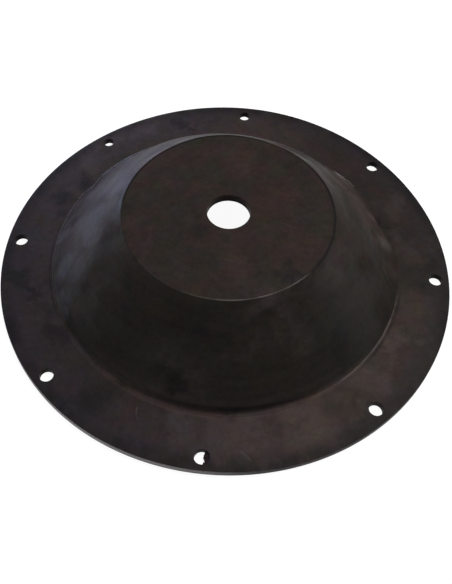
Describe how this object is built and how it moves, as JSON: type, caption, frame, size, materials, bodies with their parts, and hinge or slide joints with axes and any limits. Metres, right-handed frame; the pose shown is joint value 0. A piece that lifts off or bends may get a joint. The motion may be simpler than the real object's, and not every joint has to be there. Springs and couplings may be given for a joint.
{
  "type": "pump diaphragm",
  "caption": "Round moulded rubber diaphragm: a flat bolting flange round a hat-shaped cone with a flat crown and a central hub hole.",
  "frame": {"origin": "centre of the flange's underside, on the axis of the hub hole", "axes": "+Z along the axis, from the flange towards the crown; +X to the right and +Y away from the camera in the source picture, with the first bolt hole 41.5 degrees anticlockwise from +X"},
  "size_m": [0.21, 0.21, 0.0382],
  "materials": {
    "rubber": "matte black-brown moulded rubber with a faint bloom"
  },
  "bodies": {
    "root": {"diaphragm": "rubber"}
  },
  "joints": []
}
